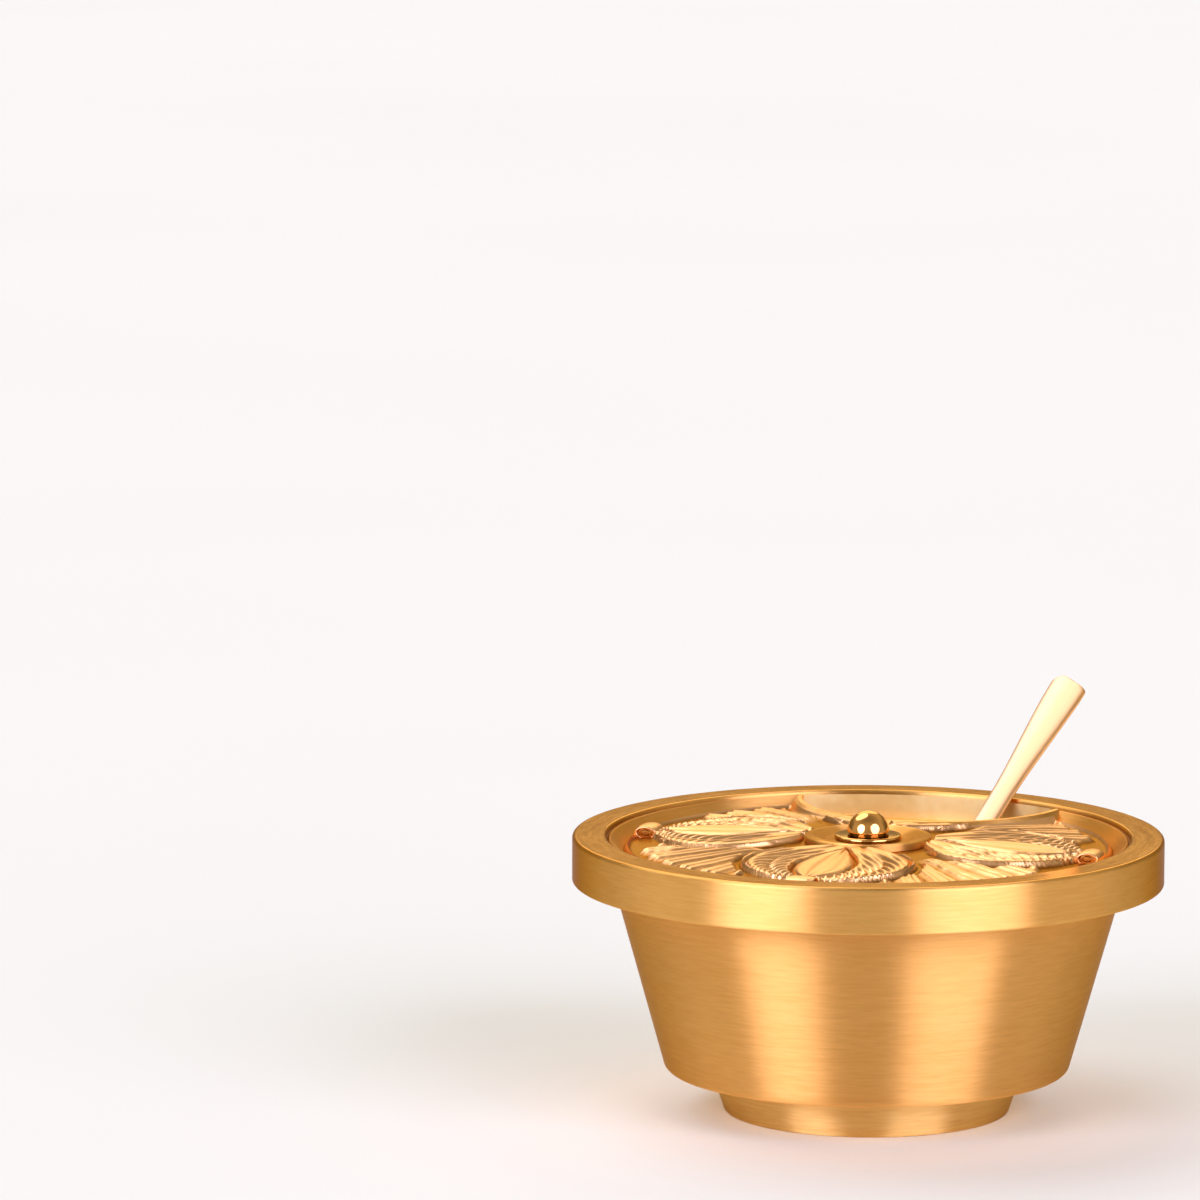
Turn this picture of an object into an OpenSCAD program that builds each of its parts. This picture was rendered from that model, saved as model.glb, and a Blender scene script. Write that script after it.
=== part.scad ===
// Incense boat with a relief lid and a spoon. Sizes in mm, Z up, foot on Z = 0.

/* [Body] */
// Outside diameter of the rim band
rim_d = 102; // [94:1:116]
// Width of the flat rim, seen from above
rim_w = 6; // [4:0.5:8]
// Height of the rim band
rim_h = 8; // [7:0.5:12]
// Height from the table to the top of the rim
body_h = 48; // [42:1:60]
// Diameter of the cone where it meets the floor
cone_bottom_d = 69.6; // [60:0.2:78]
// Wall thickness of the spun bowl
wall = 1.5; // [1:0.1:2]
// Height of the foot ring
foot_h = 7.2; // [4:0.2:10]
// Diameter of the foot under the floor
foot_top_d = 54; // [50:0.2:58]
// Diameter of the foot on the table
foot_bottom_d = 49.2; // [46.6:0.2:52]
// Wall of the foot ring at the table
foot_wall = 3; // [2:0.1:4]

/* [Lid] */
// Width of the sloping border round the relief
border_w = 2.7; // [2:0.1:4]
// Diameter of the bite that the spoon passes
bite_d = 46.8; // [40:0.2:48]
// Turn of the bite from straight behind, towards the right
bite_turn = 18.2; // [10:0.2:26]
// Width of the plain lip along the bite
lip_w = 1.8; // [1.2:0.1:2.6]
// Height of the modelled leaves over the ground of the relief
leaf_h = 1.35; // [0.6:0.05:1.6]
// Diameter of the plain disc under the knob
plate_d = 22; // [18:0.5:26]
// Diameter of the knob's ball
ball_d = 7.2; // [5.4:0.1:9]
// Diameter of the knob's flange
flange_d = 11.6; // [10.4:0.1:14]
// Height of the knob over the hollow of the disc
knob_h = 5; // [4.8:0.1:8]

/* [Spoon] */
// Length from the tip of the spoon's bowl to the end of the handle
spoon_len = 98.4; // [90:0.2:108]
// Width of the spoon's bowl
scoop_w = 16; // [12:0.5:17]
// Length of the spoon's bowl
scoop_len = 23; // [18:0.5:26]
// Width of the handle's end
handle_end_w = 7.9; // [5.6:0.1:9]
// Width of the handle's neck
neck_w = 4.7; // [3.4:0.1:5.4]
// Thickness of the spoon
spoon_t = 1.3; // [1:0.1:1.6]
// Turn of the spoon from straight behind, towards the right
spoon_turn = 33.8; // [28:0.2:36]
// Rise of the handle over the level
spoon_rise = 35.6; // [35:0.2:39]

/* [Fits] */
// Gap between the lid and the bore of the rim
lid_gap = 0.3; // [0.2:0.05:0.5]
// Gap between the lid and its ledge
seat_gap = 0.05; // [0.02:0.01:0.1]
// Gap of the soldered and bedded faces
bed_gap = 0.05; // [0.02:0.01:0.1]
// Gap between the relief plate and the pan round it
relief_gap = 0.2; // [0.15:0.05:0.3]
// Gap between the spoon and what it leans on
spoon_gap = 0.3; // [0.2:0.05:0.5]

/* [Hidden] */
$fn = 96;

gilt = [0.83, 0.6, 0.3];
cast_gilt = [0.88, 0.68, 0.4];
polished = [0.95, 0.82, 0.58];

// Rim, ledge and cone
rim_r = rim_d / 2;
bore_r = rim_r - rim_w;
rim_z = body_h - rim_h;
seat_t = 1;
collar_h = 2;
seat_z = rim_z + collar_h + seat_t;
ledge_w = 2.5;
mouth_r = bore_r - ledge_w;
cone_top_r = mouth_r + wall;
cone_bottom_r = cone_bottom_d / 2;
floor_z = foot_h + wall;
cone_slope = (cone_top_r - cone_bottom_r) / (rim_z - foot_h);
rim_edge = 0.6;

// Lid levels, from the ledge upwards
lid_r = bore_r - lid_gap;
pan_t = 1.1;
pan_low = seat_z + seat_gap;
border_z = body_h - 0.3;
relief_r = lid_r - border_w;
plate_r = plate_d / 2;
plate_t = 1.2;
plate_dip = 0.75;
knob_z = body_h - plate_dip;
plate_low = body_h - plate_t;
spigot_r = plate_r - 3;
core_r = spigot_r + 0.2;
plate_fall = 1.4;
edge_z = plate_low - plate_fall;
pan_rise = plate_fall;

// Bite in the lid
bite_r = bite_d / 2;
bite_y = lid_r - 3.3;
lip_top = border_z - 0.1;
lip_low = edge_z + plate_fall * 0.55;

// Knob and its fastening
shank_r = 2;
shank_fit = 0.1;
flange_h = 0.9;
washer_t = 0.8;
washer_r = 5;
nut_h = 3.2;
nut_flats = 7;
pan_mid = pan_low + pan_rise;

function unit(v) = v / norm(v);

// Points of one rounded corner p between its neighbours a and b
function corner(a, p, b, rad) =
    rad <= 0 ? [p] :
    let (
        u = unit(a - p),
        w = unit(b - p),
        half = acos(u * w) / 2,
        c = p + unit(u + w) * rad / sin(half),
        s = p + u * rad / tan(half) - c,
        e = p + w * rad / tan(half) - c,
        a0 = atan2(s[1], s[0]),
        turn = atan2(e[1], e[0]) - a0,
        sweep = turn > 180 ? turn - 360 : turn < -180 ? turn + 360 : turn,
        n = rad > 2 ? 10 : 4
    )
    [for (i = [0 : n]) c + rad * [cos(a0 + sweep * i / n), sin(a0 + sweep * i / n)]];

// Outline from rows of radius, height and corner rounding
function rounded(rows) =
    let (n = len(rows), xy = [for (q = rows) [q[0], q[1]]])
    [for (i = [0 : n - 1]) each corner(xy[(i + n - 1) % n], xy[i], xy[(i + 1) % n], rows[i][2])];

module turned(rows) {
    rotate_extrude()
        polygon(rounded(rows));
}

// Spun bowl: flat floor, straight cone and an upright collar that carries the rim band
module bowl_shell() {
    color(gilt)
        turned([
            [0, foot_h, 0],
            [cone_bottom_r, foot_h, 1.5],
            [cone_top_r, rim_z, 0],
            [cone_top_r, rim_z + collar_h, 0],
            [mouth_r, rim_z + collar_h, 0],
            [mouth_r, rim_z, 0],
            [cone_bottom_r + cone_slope * wall - wall, floor_z, 1.2],
            [0, floor_z, 0]
        ]);
}

// Turned band: it stands on the collar, and its inner flange is the ledge of the lid
module rim_band() {
    color(gilt)
        turned([
            [cone_top_r + bed_gap, rim_z, 0],
            [rim_r, rim_z, 0.4],
            [rim_r, body_h, rim_edge],
            [bore_r, body_h, rim_edge],
            [bore_r, seat_z, 0],
            [mouth_r, seat_z, 0],
            [mouth_r, seat_z - seat_t, 0],
            [cone_top_r + bed_gap, seat_z - seat_t, 0]
        ]);
}

// Turned foot: a tapered ring under the floor
module foot_ring() {
    color(gilt)
        turned([
            [foot_bottom_d / 2 - foot_wall, 0, 0.4],
            [foot_bottom_d / 2, 0, 0.6],
            [foot_top_d / 2, foot_h, 0],
            [foot_bottom_d / 2 - foot_wall, foot_h, 0]
        ]);
}

module at_bite() {
    rotate([0, 0, -bite_turn])
        translate([0, bite_y, 0])
            children();
}

// Lid pan: sloping border, coned floor with a flat middle, and the bite with its own lip
module lid_pan() {
    color(gilt)
        difference() {
            union() {
                turned([
                    [shank_r + shank_fit, pan_mid, 0],
                    [core_r, pan_mid, 0],
                    [mouth_r - 1.2, pan_low, 0],
                    [lid_r, pan_low, 0],
                    [lid_r, border_z, 0.25],
                    [relief_r + relief_gap, edge_z, 0],
                    [relief_r + relief_gap, pan_low + pan_t, 0],
                    [core_r, pan_mid + pan_t, 0],
                    [shank_r + shank_fit, pan_mid + pan_t, 0]
                ]);
                intersection() {
                    at_bite()
                        turned([
                            [bite_r - 2, pan_low, 0],
                            [bite_r + lip_w, pan_low, 0],
                            [bite_r + lip_w, lip_low, 0],
                            [bite_r + 0.7, lip_top, 0.3],
                            [bite_r - 2, lip_top, 0]
                        ]);
                    turned([
                        [spigot_r, pan_mid, 0],
                        [core_r, pan_mid, 0],
                        [mouth_r - 1.2, pan_low, 0],
                        [lid_r - 0.2, pan_low, 0],
                        [lid_r - 0.2, body_h, 0],
                        [spigot_r, body_h, 0]
                    ]);
                }
            }
            at_bite()
                translate([0, 0, seat_z - 5])
                    cylinder(r = bite_r, h = 20);
        }
}

// Relief plate. Leaves and fans repeat every quarter turn from the line opposite the bite.
plate_edge = 0.15;
root_run = 0.55;
root_r = plate_r + plate_edge + root_run;
soft = 0.8;
leaf_from = plate_r - 1;
leaf_to = relief_r - 4;
leaf_half = 15.4;
petal_from = plate_r + 2;
petal_to = relief_r - 5.5;
petal_half = 5.2;
outline_w = 1.2;
curl_u = leaf_to + 1;
curl_len = 4;
curl_w = 4.8;
fan_from = plate_r + 7;
fan_to = relief_r - 2;
fan_rib = 8.6;
margin = 1;
edge_in = 0.5;
columns = 176;
inner_rows = 6;
bite_rows = 19;

function share(x, from, to) = min(1, max(0, (x - from) / (to - from)));

function smooth(t) = let (c = min(1, max(0, t))) c * c * (3 - 2 * c);

// One at x = at, falling smoothly to nothing at w to either side
function ridge(x, at, w) = 1 - smooth(abs(x - at) / w);

// Level of the plain ground at radius r
function ground(r) = edge_z + plate_fall * (1 - pow(share(r, root_r, relief_r), 2));

// Half width of a leaf, and of the petal in its middle, at distance u from the centre of the lid
function leaf_w(u) = leaf_half * sqrt(sin(180 * share(u, leaf_from, leaf_to)));
function petal_w(u) = petal_half * pow(sin(180 * pow(share(u, petal_from, petal_to), 1.35)), 0.75);

// Raised share of the petal at v across it: a low dome with three ribs
function petal(v, w) =
    let (q = w > 0 ? min(1, v / w) : 1)
    smooth((w - v) / soft) * (0.4 + 0.6 * sqrt(1 - q * q) - 0.11 * (1 - cos(540 * q)));

// Raised share of the two lobes that lie beside the petal and inside the raised outline of the leaf
function lobes(v, inner, outer) =
    smooth((v - inner) / soft) * 0.9 * pow(abs(sin(360 * share(v, inner, max(outer, inner + 0.01)))), 0.7);

// Raised share of a leaf at u along its axis and v across it
function leaf(u, v) =
    let (w = leaf_w(u), p = petal_w(u))
    smooth((w - v) / soft)
    * max(petal(v, p), lobes(v, p, w - outline_w), 0.85 * ridge(w - v, outline_w * 0.6, 0.9));

// Raised share of the curled leaf tip: a high round boss
function curl(u, v) = 1.5 * sqrt(max(0, 1 - pow(2 * (u - curl_u) / curl_len, 2) - pow(2 * v / curl_w, 2)));

// Raised share of the ribbed fan between two leaves, at the angle lean from its own axis
function fan(r, lean, clear_leaf) =
    let (rib = pow(abs(cos(180 * lean / fan_rib)), 0.7))
    smooth((r - fan_from) / 6) * smooth(fan_to - r - 1.3 * (1 - rib)) * smooth((clear_leaf - 0.5) / 0.9)
    * (0.05 + 0.75 * rib);

function raised(x, y) =
    let (
        r = norm([x, y]),
        a = atan2(y, x),
        off = abs(a - 90 * round(a / 90)),
        u = r * cos(off),
        v = r * sin(off),
        form = max(leaf(u, v), fan(r, 45 - off, v - leaf_w(u))),
        to_edge = min(relief_r - r, norm([x, y - bite_y]) - gap_r),
        shown = smooth((r - plate_r - plate_edge) / root_run) * smooth((to_edge - margin) / soft)
    )
    max(form * shown, curl(u, v), 0.45 * ridge(relief_r - r, edge_in, edge_in));

// Rows of the plate: whole circles as far as the bite, then open rings that end on its lip
gap_r = bite_r + lip_w + relief_gap;
near_r = bite_y - gap_r;
horn = acos((bite_y * bite_y + gap_r * gap_r - relief_r * relief_r) / (2 * bite_y * gap_r));
row_r = [
    core_r + 0.1,
    plate_r + plate_edge,
    for (i = [0 : inner_rows]) root_r + (near_r - root_r) * i / inner_rows,
    for (i = [1 : bite_rows - 1])
        sqrt(bite_y * bite_y + gap_r * gap_r - 2 * bite_y * gap_r * cos(horn * i / bite_rows)),
    relief_r - edge_in,
    relief_r
];
closed = inner_rows + 3;
last_row = len(row_r) - 1;

// Rows of the underside: it is a plain cone, so every second row and column is enough there
low_rows = [0, for (j = [closed - 1 : 2 : last_row]) j];
low_columns = columns / 2;
last_low = len(low_rows) - 1;

// Half angle that the bite takes out of a ring of radius r
function bite_half(r) = acos(min(1, (r * r + bite_y * bite_y - gap_r * gap_r) / (2 * r * bite_y)));

// Place of a column in row j, as a share of the way round, seen from above with the bite at the back
function plate_xy(j, way) =
    let (b = bite_half(row_r[j]), a = b + (360 - 2 * b) * way)
    row_r[j] * [-sin(a), cos(a)];

// Number of the point at column k in row j; whole circles share their first and last column
function grid_at(j, k, whole, n) = j < whole ? j * n + k % n : whole * n + (j - whole) * (n + 1) + k;
function top_at(j, k) = grid_at(j, k, closed, columns);

// Level of the pan's floor under the plate
function pan_top(r) = pan_mid + pan_t - pan_rise * (r - core_r) / (relief_r + relief_gap - core_r);

// Faces of one field between two rows, split from b to c
function strip(a, b, c, d) = [[a, b, c], [b, d, c]];

// Faces between three points of the top's edge and two of the underside's
function wall(t, l) = [[t[0], t[1], l[0]], [t[1], l[1], l[0]], [t[1], t[2], l[1]]];

// The same faces, turned to the other side
function flipped(faces) = [for (f = faces) [f[0], f[2], f[1]]];

module lid_relief() {
    tops = [
        for (j = [0 : last_row])
        for (k = [0 : j < closed ? columns - 1 : columns])
            let (p = plate_xy(j, k / columns))
            [p[0], p[1], ground(row_r[j]) + leaf_h * raised(p[0], p[1])]
    ];
    lows = [
        for (i = [0 : last_low])
        for (k = [0 : i < 2 ? low_columns - 1 : low_columns])
            let (j = low_rows[i], p = plate_xy(j, k / low_columns))
            [p[0], p[1], pan_top(row_r[j]) + bed_gap]
    ];
    function low_at(i, k) = len(tops) + grid_at(i, k, 2, low_columns);
    skin = [
        for (j = [0 : last_row - 1])
        for (k = [0 : columns - 1])
            let (
                a = top_at(j, k),
                b = top_at(j, k + 1),
                c = top_at(j + 1, k),
                d = top_at(j + 1, k + 1),
                flatter = abs(tops[b][2] - tops[c][2]) < abs(tops[a][2] - tops[d][2])
            )
            each flatter ? strip(a, b, c, d) : flipped(strip(b, a, d, c))
    ];
    under = [
        for (i = [0 : last_low - 1])
        for (k = [0 : low_columns - 1])
            each strip(low_at(i, k), low_at(i, k + 1), low_at(i + 1, k), low_at(i + 1, k + 1))
    ];
    rims = [
        for (k = [0 : low_columns - 1])
            let (
                inner = wall([for (s = [0 : 2]) top_at(0, 2 * k + s)], [low_at(0, k), low_at(0, k + 1)]),
                outer = wall(
                    [for (s = [0 : 2]) top_at(last_row, 2 * k + s)],
                    [low_at(last_low, k), low_at(last_low, k + 1)]
                )
            )
            each concat(flipped(inner), outer)
    ];
    bite_walls = [
        for (i = [1 : last_low - 1])
            let (
                j = low_rows[i],
                left = wall([for (s = [0 : 2]) top_at(j + s, 0)], [low_at(i, 0), low_at(i + 1, 0)]),
                right = wall(
                    [for (s = [0 : 2]) top_at(j + s, columns)],
                    [low_at(i, low_columns), low_at(i + 1, low_columns)]
                )
            )
            each concat(left, flipped(right))
    ];
    color(cast_gilt)
        rotate([0, 0, -bite_turn])
            polyhedron(concat(tops, lows), concat(skin, flipped(under), rims, bite_walls));
}

// Plain dished disc in the middle of the relief, with a spigot through to the pan
module knob_plate() {
    color(gilt)
        turned([
            [shank_r + shank_fit, pan_mid + pan_t, 0],
            [spigot_r, pan_mid + pan_t, 0],
            [spigot_r, plate_low + bed_gap, 0],
            [plate_r, plate_low + bed_gap, 0],
            [plate_r, body_h, 0.35],
            [plate_r - 1.2, body_h, 0.5],
            [plate_r - 3.6, knob_z, 0.5],
            [shank_r + shank_fit, knob_z, 0]
        ]);
}

// Knob: ball on a flange, with a shank through the lid
module knob() {
    ball_r = ball_d / 2;
    top = knob_z + knob_h;
    end = pan_mid - washer_t - nut_h - 0.9;
    color(polished)
        turned([
            [0, end, 0],
            [shank_r, end, 0.3],
            [shank_r, knob_z, 0],
            [flange_d / 2, knob_z, 0.4],
            [flange_d / 2, knob_z + flange_h, 0.4],
            [ball_r - 0.4, knob_z + flange_h + 0.1, 0],
            [ball_r - 0.4, knob_z + flange_h + 0.35, 0],
            [ball_r, knob_z + flange_h + 0.5, 0],
            [ball_r, top, min(ball_r - 0.02, knob_h - flange_h - 0.55)],
            [0, top, 0]
        ]);
}

module lid_washer() {
    color(gilt)
        translate([0, 0, pan_mid - washer_t])
            difference() {
                cylinder(r = washer_r, h = washer_t);
                translate([0, 0, -1])
                    cylinder(r = shank_r + shank_fit, h = washer_t + 2);
            }
}

module lid_nut() {
    color(gilt)
        translate([0, 0, pan_mid - washer_t - nut_h])
            difference() {
                cylinder(r = nut_flats / 2 / cos(30), h = nut_h, $fn = 6);
                translate([0, 0, -1])
                    cylinder(r = shank_r + shank_fit, h = nut_h + 2);
            }
}

// Spoon: it leans on the inner edge of the rim, and its tip lies on the floor
edge_r = bore_r + rim_edge;
edge_top = body_h - rim_edge;
spoon_under = (rim_edge + spoon_gap) + edge_top * cos(spoon_rise) - edge_r * sin(spoon_rise);
spoon_tip = (floor_z + spoon_gap - (spoon_under + spoon_t * 0.2) * cos(spoon_rise)) / sin(spoon_rise);
scoop_depth = 2.6;
scoop_drop = 1.6;
end_round = 2.2;
stations = 52;
across = 10;

// Half width of the spoon at distance x from its tip
function spoon_w(x) =
    let (
        egg = x < scoop_len ? scoop_w / 2 * sqrt(max(0, sin(180 * pow(x / scoop_len, 0.85)))) : 0,
        flare = smooth((x - spoon_len + 32.4) / 30),
        bar = x > scoop_len * 0.8 ? neck_w / 2 + (handle_end_w - neck_w) / 2 * flare : 0,
        from_end = spoon_len - x,
        round_end = from_end < end_round ? 1 - 0.45 * pow(1 - from_end / end_round, 2.5) : 1
    )
    max(0.4, max(egg, bar) * round_end);

// Share of the dished form at distance x: 1 in the scoop, 0 on the handle
function dish(x) = smooth(x / 5) * smooth((scoop_len + 3 - x) / 9);

function spoon_x(i) =
    let (root = scoop_len + 4, last = spoon_len - end_round)
    i <= 24 ? root * (1 - cos(180 * i / 24)) / 2 :
    i >= stations - 6 ? spoon_len - end_round * (1 - sin(90 * (i - stations + 6) / 6)) :
    root + (last - root) * (i - 24) / (stations - 30);

function spoon_z(x, q) =
    let (d = dish(x))
    spoon_t / 2 - scoop_drop * d + (scoop_depth * q * q) * d;

module spoon() {
    ring = 2 * across;
    pts = [
        for (i = [0 : stations])
        for (k = [0 : ring - 1])
            let (
                x = spoon_x(i),
                w = spoon_w(x),
                q = k <= across ? 1 - 2 * k / across : -1 + 2 * (k - across) / across,
                edge = sqrt(max(0, 1 - pow(abs(q), 6))),
                side = k <= across ? 1 : -1,
                thin = 0.25 + 0.75 * smooth(min(x, spoon_len - x) / 0.7 + 0.25)
            )
            [x, q * w, spoon_z(x, q) + side * spoon_t / 2 * edge * thin]
    ];
    sides = [
        for (i = [0 : stations - 1])
        for (k = [0 : ring - 1])
            let (a = i * ring + k, b = i * ring + (k + 1) % ring, c = a + ring, d = b + ring)
            each [[a, b, c], [b, d, c]]
    ];
    caps = [
        [for (k = [ring - 1 : -1 : 0]) k],
        [for (k = [0 : ring - 1]) stations * ring + k]
    ];
    color(polished)
        rotate([0, -spoon_rise, 90 - spoon_turn])
            translate([spoon_tip, 0, spoon_under])
                polyhedron(pts, concat(sides, caps));
}

bowl_shell();
rim_band();
foot_ring();
lid_pan();
lid_relief();
knob_plate();
knob();
lid_washer();
lid_nut();
spoon();
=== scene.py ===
import math

import bmesh
import bpy
from mathutils import Matrix, Vector


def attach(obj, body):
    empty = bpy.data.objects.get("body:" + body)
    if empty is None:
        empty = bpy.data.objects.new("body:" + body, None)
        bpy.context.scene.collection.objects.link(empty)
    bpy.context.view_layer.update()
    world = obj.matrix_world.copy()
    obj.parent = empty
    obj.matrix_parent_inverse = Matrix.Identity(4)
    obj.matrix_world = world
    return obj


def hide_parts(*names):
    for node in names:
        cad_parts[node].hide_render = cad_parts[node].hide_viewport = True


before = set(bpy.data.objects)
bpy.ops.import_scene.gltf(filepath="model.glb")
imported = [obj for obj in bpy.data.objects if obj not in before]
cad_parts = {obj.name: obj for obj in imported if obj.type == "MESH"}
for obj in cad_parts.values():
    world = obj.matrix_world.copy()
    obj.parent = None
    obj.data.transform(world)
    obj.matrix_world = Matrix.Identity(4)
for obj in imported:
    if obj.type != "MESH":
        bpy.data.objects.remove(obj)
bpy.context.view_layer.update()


# Bowl: spun from brass sheet and gilt, with a flat floor, a straight cone and a short collar.
# The spinning and brushing marks run round its axis. The collar is soldered into the rim band.
# Its rows, like those of every turned piece, are radius, height and rounding in mm.
bowl_rows = [
    (0, 7.2, 0), (34.8, 7.2, 1.5), (44, 40, 0), (44, 42, 0),
    (42.5, 42, 0), (42.5, 40, 0), (33.72, 8.7, 1.2), (0, 8.7, 0),
]


class Sock:
    """A socket of a node tree, used in plain expressions; each operation adds its node."""

    def __init__(self, tree, out=None):
        self.tree = tree
        self.out = out

    def add(self, kind, settings=None, sockets=None, out=0):
        """Any node: its settings first, then values or links for its sockets by name or number."""
        made = self.tree.nodes.new(kind)
        for key, value in (settings or {}).items():
            setattr(made, key, value)
        for key, value in (sockets or {}).items():
            if isinstance(value, Sock):
                self.tree.links.new(value.out, made.inputs[key])
            else:
                made.inputs[key].default_value = value
        return Sock(self.tree, made.outputs[out] if made.outputs else None)

    def math(self, operation, *terms):
        values = dict(enumerate((self,) + terms))
        return self.add("ShaderNodeMath", {"operation": operation}, values)

    def after(self, operation, first):
        return self.add("ShaderNodeMath", {"operation": operation}, {0: first, 1: self})

    def __add__(self, other):
        return self.math("ADD", other)

    def __sub__(self, other):
        return self.math("SUBTRACT", other)

    def __mul__(self, other):
        return self.math("MULTIPLY", other)

    def __truediv__(self, other):
        return self.math("DIVIDE", other)

    def __pow__(self, other):
        return self.math("POWER", other)

    def __radd__(self, other):
        return self.after("ADD", other)

    def __rsub__(self, other):
        return self.after("SUBTRACT", other)

    def __rmul__(self, other):
        return self.after("MULTIPLY", other)

    def __rtruediv__(self, other):
        return self.after("DIVIDE", other)

    def __abs__(self):
        return self.math("ABSOLUTE")

    def parts(self):
        split = self.tree.nodes.new("ShaderNodeSeparateXYZ")
        self.tree.links.new(self.out, split.inputs[0])
        return [Sock(self.tree, o) for o in split.outputs]

    def point(self, x, y, z):
        return self.add("ShaderNodeCombineXYZ", None, {0: x, 1: y, 2: z})

    def step(self, low, high, start=0.0, end=1.0):
        """Smooth step of this value, from start at low to end at high."""
        return self.add(
            "ShaderNodeMapRange", {"interpolation_type": "SMOOTHSTEP"},
            {"Value": self, "From Min": low, "From Max": high, "To Min": start, "To Max": end},
        )

    def blend(self, first, second):
        """Colour between two others, with this value as the share of the second."""
        values = {0: self, 6: first, 7: second}
        return self.add("ShaderNodeMix", {"data_type": "RGBA"}, values, out=2)


def rounded(rows, facets=6, support=0.12):
    """Profile in mm from its rows, with a close point beside each round."""
    points = []
    for i, (radius, height, rad) in enumerate(rows):
        corner = Vector((radius, height))
        back = Vector(rows[i - 1][:2]) - corner
        on = Vector(rows[(i + 1) % len(rows)][:2]) - corner
        if rad == 0:
            points.append(corner)
            continue
        half = back.angle(on) / 2
        reach = rad / math.tan(half)
        inwards = (back.normalized() + on.normalized()).normalized()
        centre = corner + inwards * rad / math.sin(half)
        start = corner + back.normalized() * reach - centre
        end = corner + on.normalized() * reach - centre
        turn = math.atan2(start.x * end.y - start.y * end.x, start.dot(end))
        if back.length > reach + 3 * support:
            points.append(corner + back.normalized() * (reach + support))
        for k in range(facets + 1):
            points.append(centre + Matrix.Rotation(turn * k / facets, 2) @ start)
        if on.length > reach + 3 * support:
            points.append(corner + on.normalized() * (reach + support))
    return points


# Metres within which points are one, and under which an edge is dropped
weld_gap, sliver = 1e-7, 1e-8


def turned_tree():
    """Nodes that sweep a profile, a row of points in the XZ plane, once round the Z axis."""
    tree = bpy.data.node_groups.new("turned_piece", "GeometryNodeTree")
    names = {}
    wanted = (("Profile", "Geometry"), ("Steps", "Int"), ("Finish", "Material"))
    for name, kind in wanted:
        entered = tree.interface.new_socket(
            name, in_out="INPUT", socket_type="NodeSocket" + kind)
        names[name] = entered.identifier
    tree.interface.new_socket("Piece", in_out="OUTPUT", socket_type="NodeSocketGeometry")
    entry = tree.nodes.new("NodeGroupInput")
    profile, steps, finish = (Sock(tree, entry.outputs[n]) for n, _ in wanted)
    t = Sock(tree)
    count = t.add(
        "GeometryNodeAttributeDomainSize", {"component": "MESH"},
        {"Geometry": profile}, "Point Count")
    net = t.add("GeometryNodeMeshGrid", None, {"Vertices X": steps + 1, "Vertices Y": count})
    index = t.add("GeometryNodeInputIndex")
    row = index.math("MODULO", count)
    angle = (index / count).math("FLOOR") * (2 * math.pi) / steps
    place = t.add(
        "GeometryNodeSampleIndex", {"data_type": "FLOAT_VECTOR", "domain": "POINT"},
        {"Geometry": profile, "Value": t.add("GeometryNodeInputPosition"), "Index": row},
    )
    radius, _, height = place.parts()
    around = t.point(radius * angle.math("COSINE"), radius * angle.math("SINE"), height)
    swept = t.add("GeometryNodeSetPosition", None, {"Geometry": net, "Position": around})
    closed = t.add(
        "GeometryNodeMergeByDistance", None, {"Geometry": swept, "Distance": weld_gap})
    whole = t.add("GeometryNodeRealizeInstances", None, {"Geometry": closed})
    done = t.add("GeometryNodeSetMaterial", None, {"Geometry": whole, "Material": finish})
    exit_node = tree.nodes.new("NodeGroupOutput")
    tree.links.new(done.out, exit_node.inputs[0])
    return tree, names


turning, turning_inputs = turned_tree()


def grown(piece, tree, inputs):
    """The piece with its mesh replaced by what the tree makes of it, and no modifier left."""
    growth = piece.modifiers.new("growth", "NODES")
    growth.node_group = tree
    for identifier, value in inputs.items():
        growth[identifier] = value
    ready = piece.evaluated_get(bpy.context.evaluated_depsgraph_get())
    base, mesh = piece.data, bpy.data.meshes.new_from_object(ready)
    piece.modifiers.clear()
    piece.data = mesh
    mesh.name = piece.name
    bpy.data.meshes.remove(base)
    return piece


def smoothed(piece, sharp):
    """Doubles merged, faces outwards, smooth shading with edges sharper than the angle kept."""
    work = bmesh.new()
    work.from_mesh(piece.data)
    bmesh.ops.remove_doubles(work, verts=work.verts, dist=weld_gap)
    bmesh.ops.dissolve_degenerate(work, edges=work.edges, dist=sliver)
    bmesh.ops.recalc_face_normals(work, faces=work.faces)
    work.to_mesh(piece.data)
    work.free()
    piece.data.shade_smooth()
    piece.data.set_sharp_from_angle(angle=math.radians(sharp))
    return piece


def turned(name, rows, finish, steps=256, sharp=32):
    """A turned piece from its rows."""
    points = rounded(rows)
    if rows[0][0] > 0 or rows[-1][0] > 0:
        points.append(points[0])
    line = bpy.data.meshes.new(name)
    line.from_pydata([(p.x / 1000, 0, p.y / 1000) for p in points], [], [])
    piece = bpy.data.objects.new(name, line)
    bpy.context.scene.collection.objects.link(piece)
    grown(piece, turning, {turning_inputs["Steps"]: steps, turning_inputs["Finish"]: finish})
    piece.data.materials.clear()
    piece.data.materials.append(finish)
    for face in piece.data.polygons:
        face.material_index = 0
    return smoothed(piece, sharp)


deep_gold, light_gold = (0.87, 0.44, 0.115, 1), (0.98, 0.55, 0.165, 1)
bright_edge, wall_edge = (0.95, 0.7, 0.4, 1), (0.68, 0.52, 0.38, 1)


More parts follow.
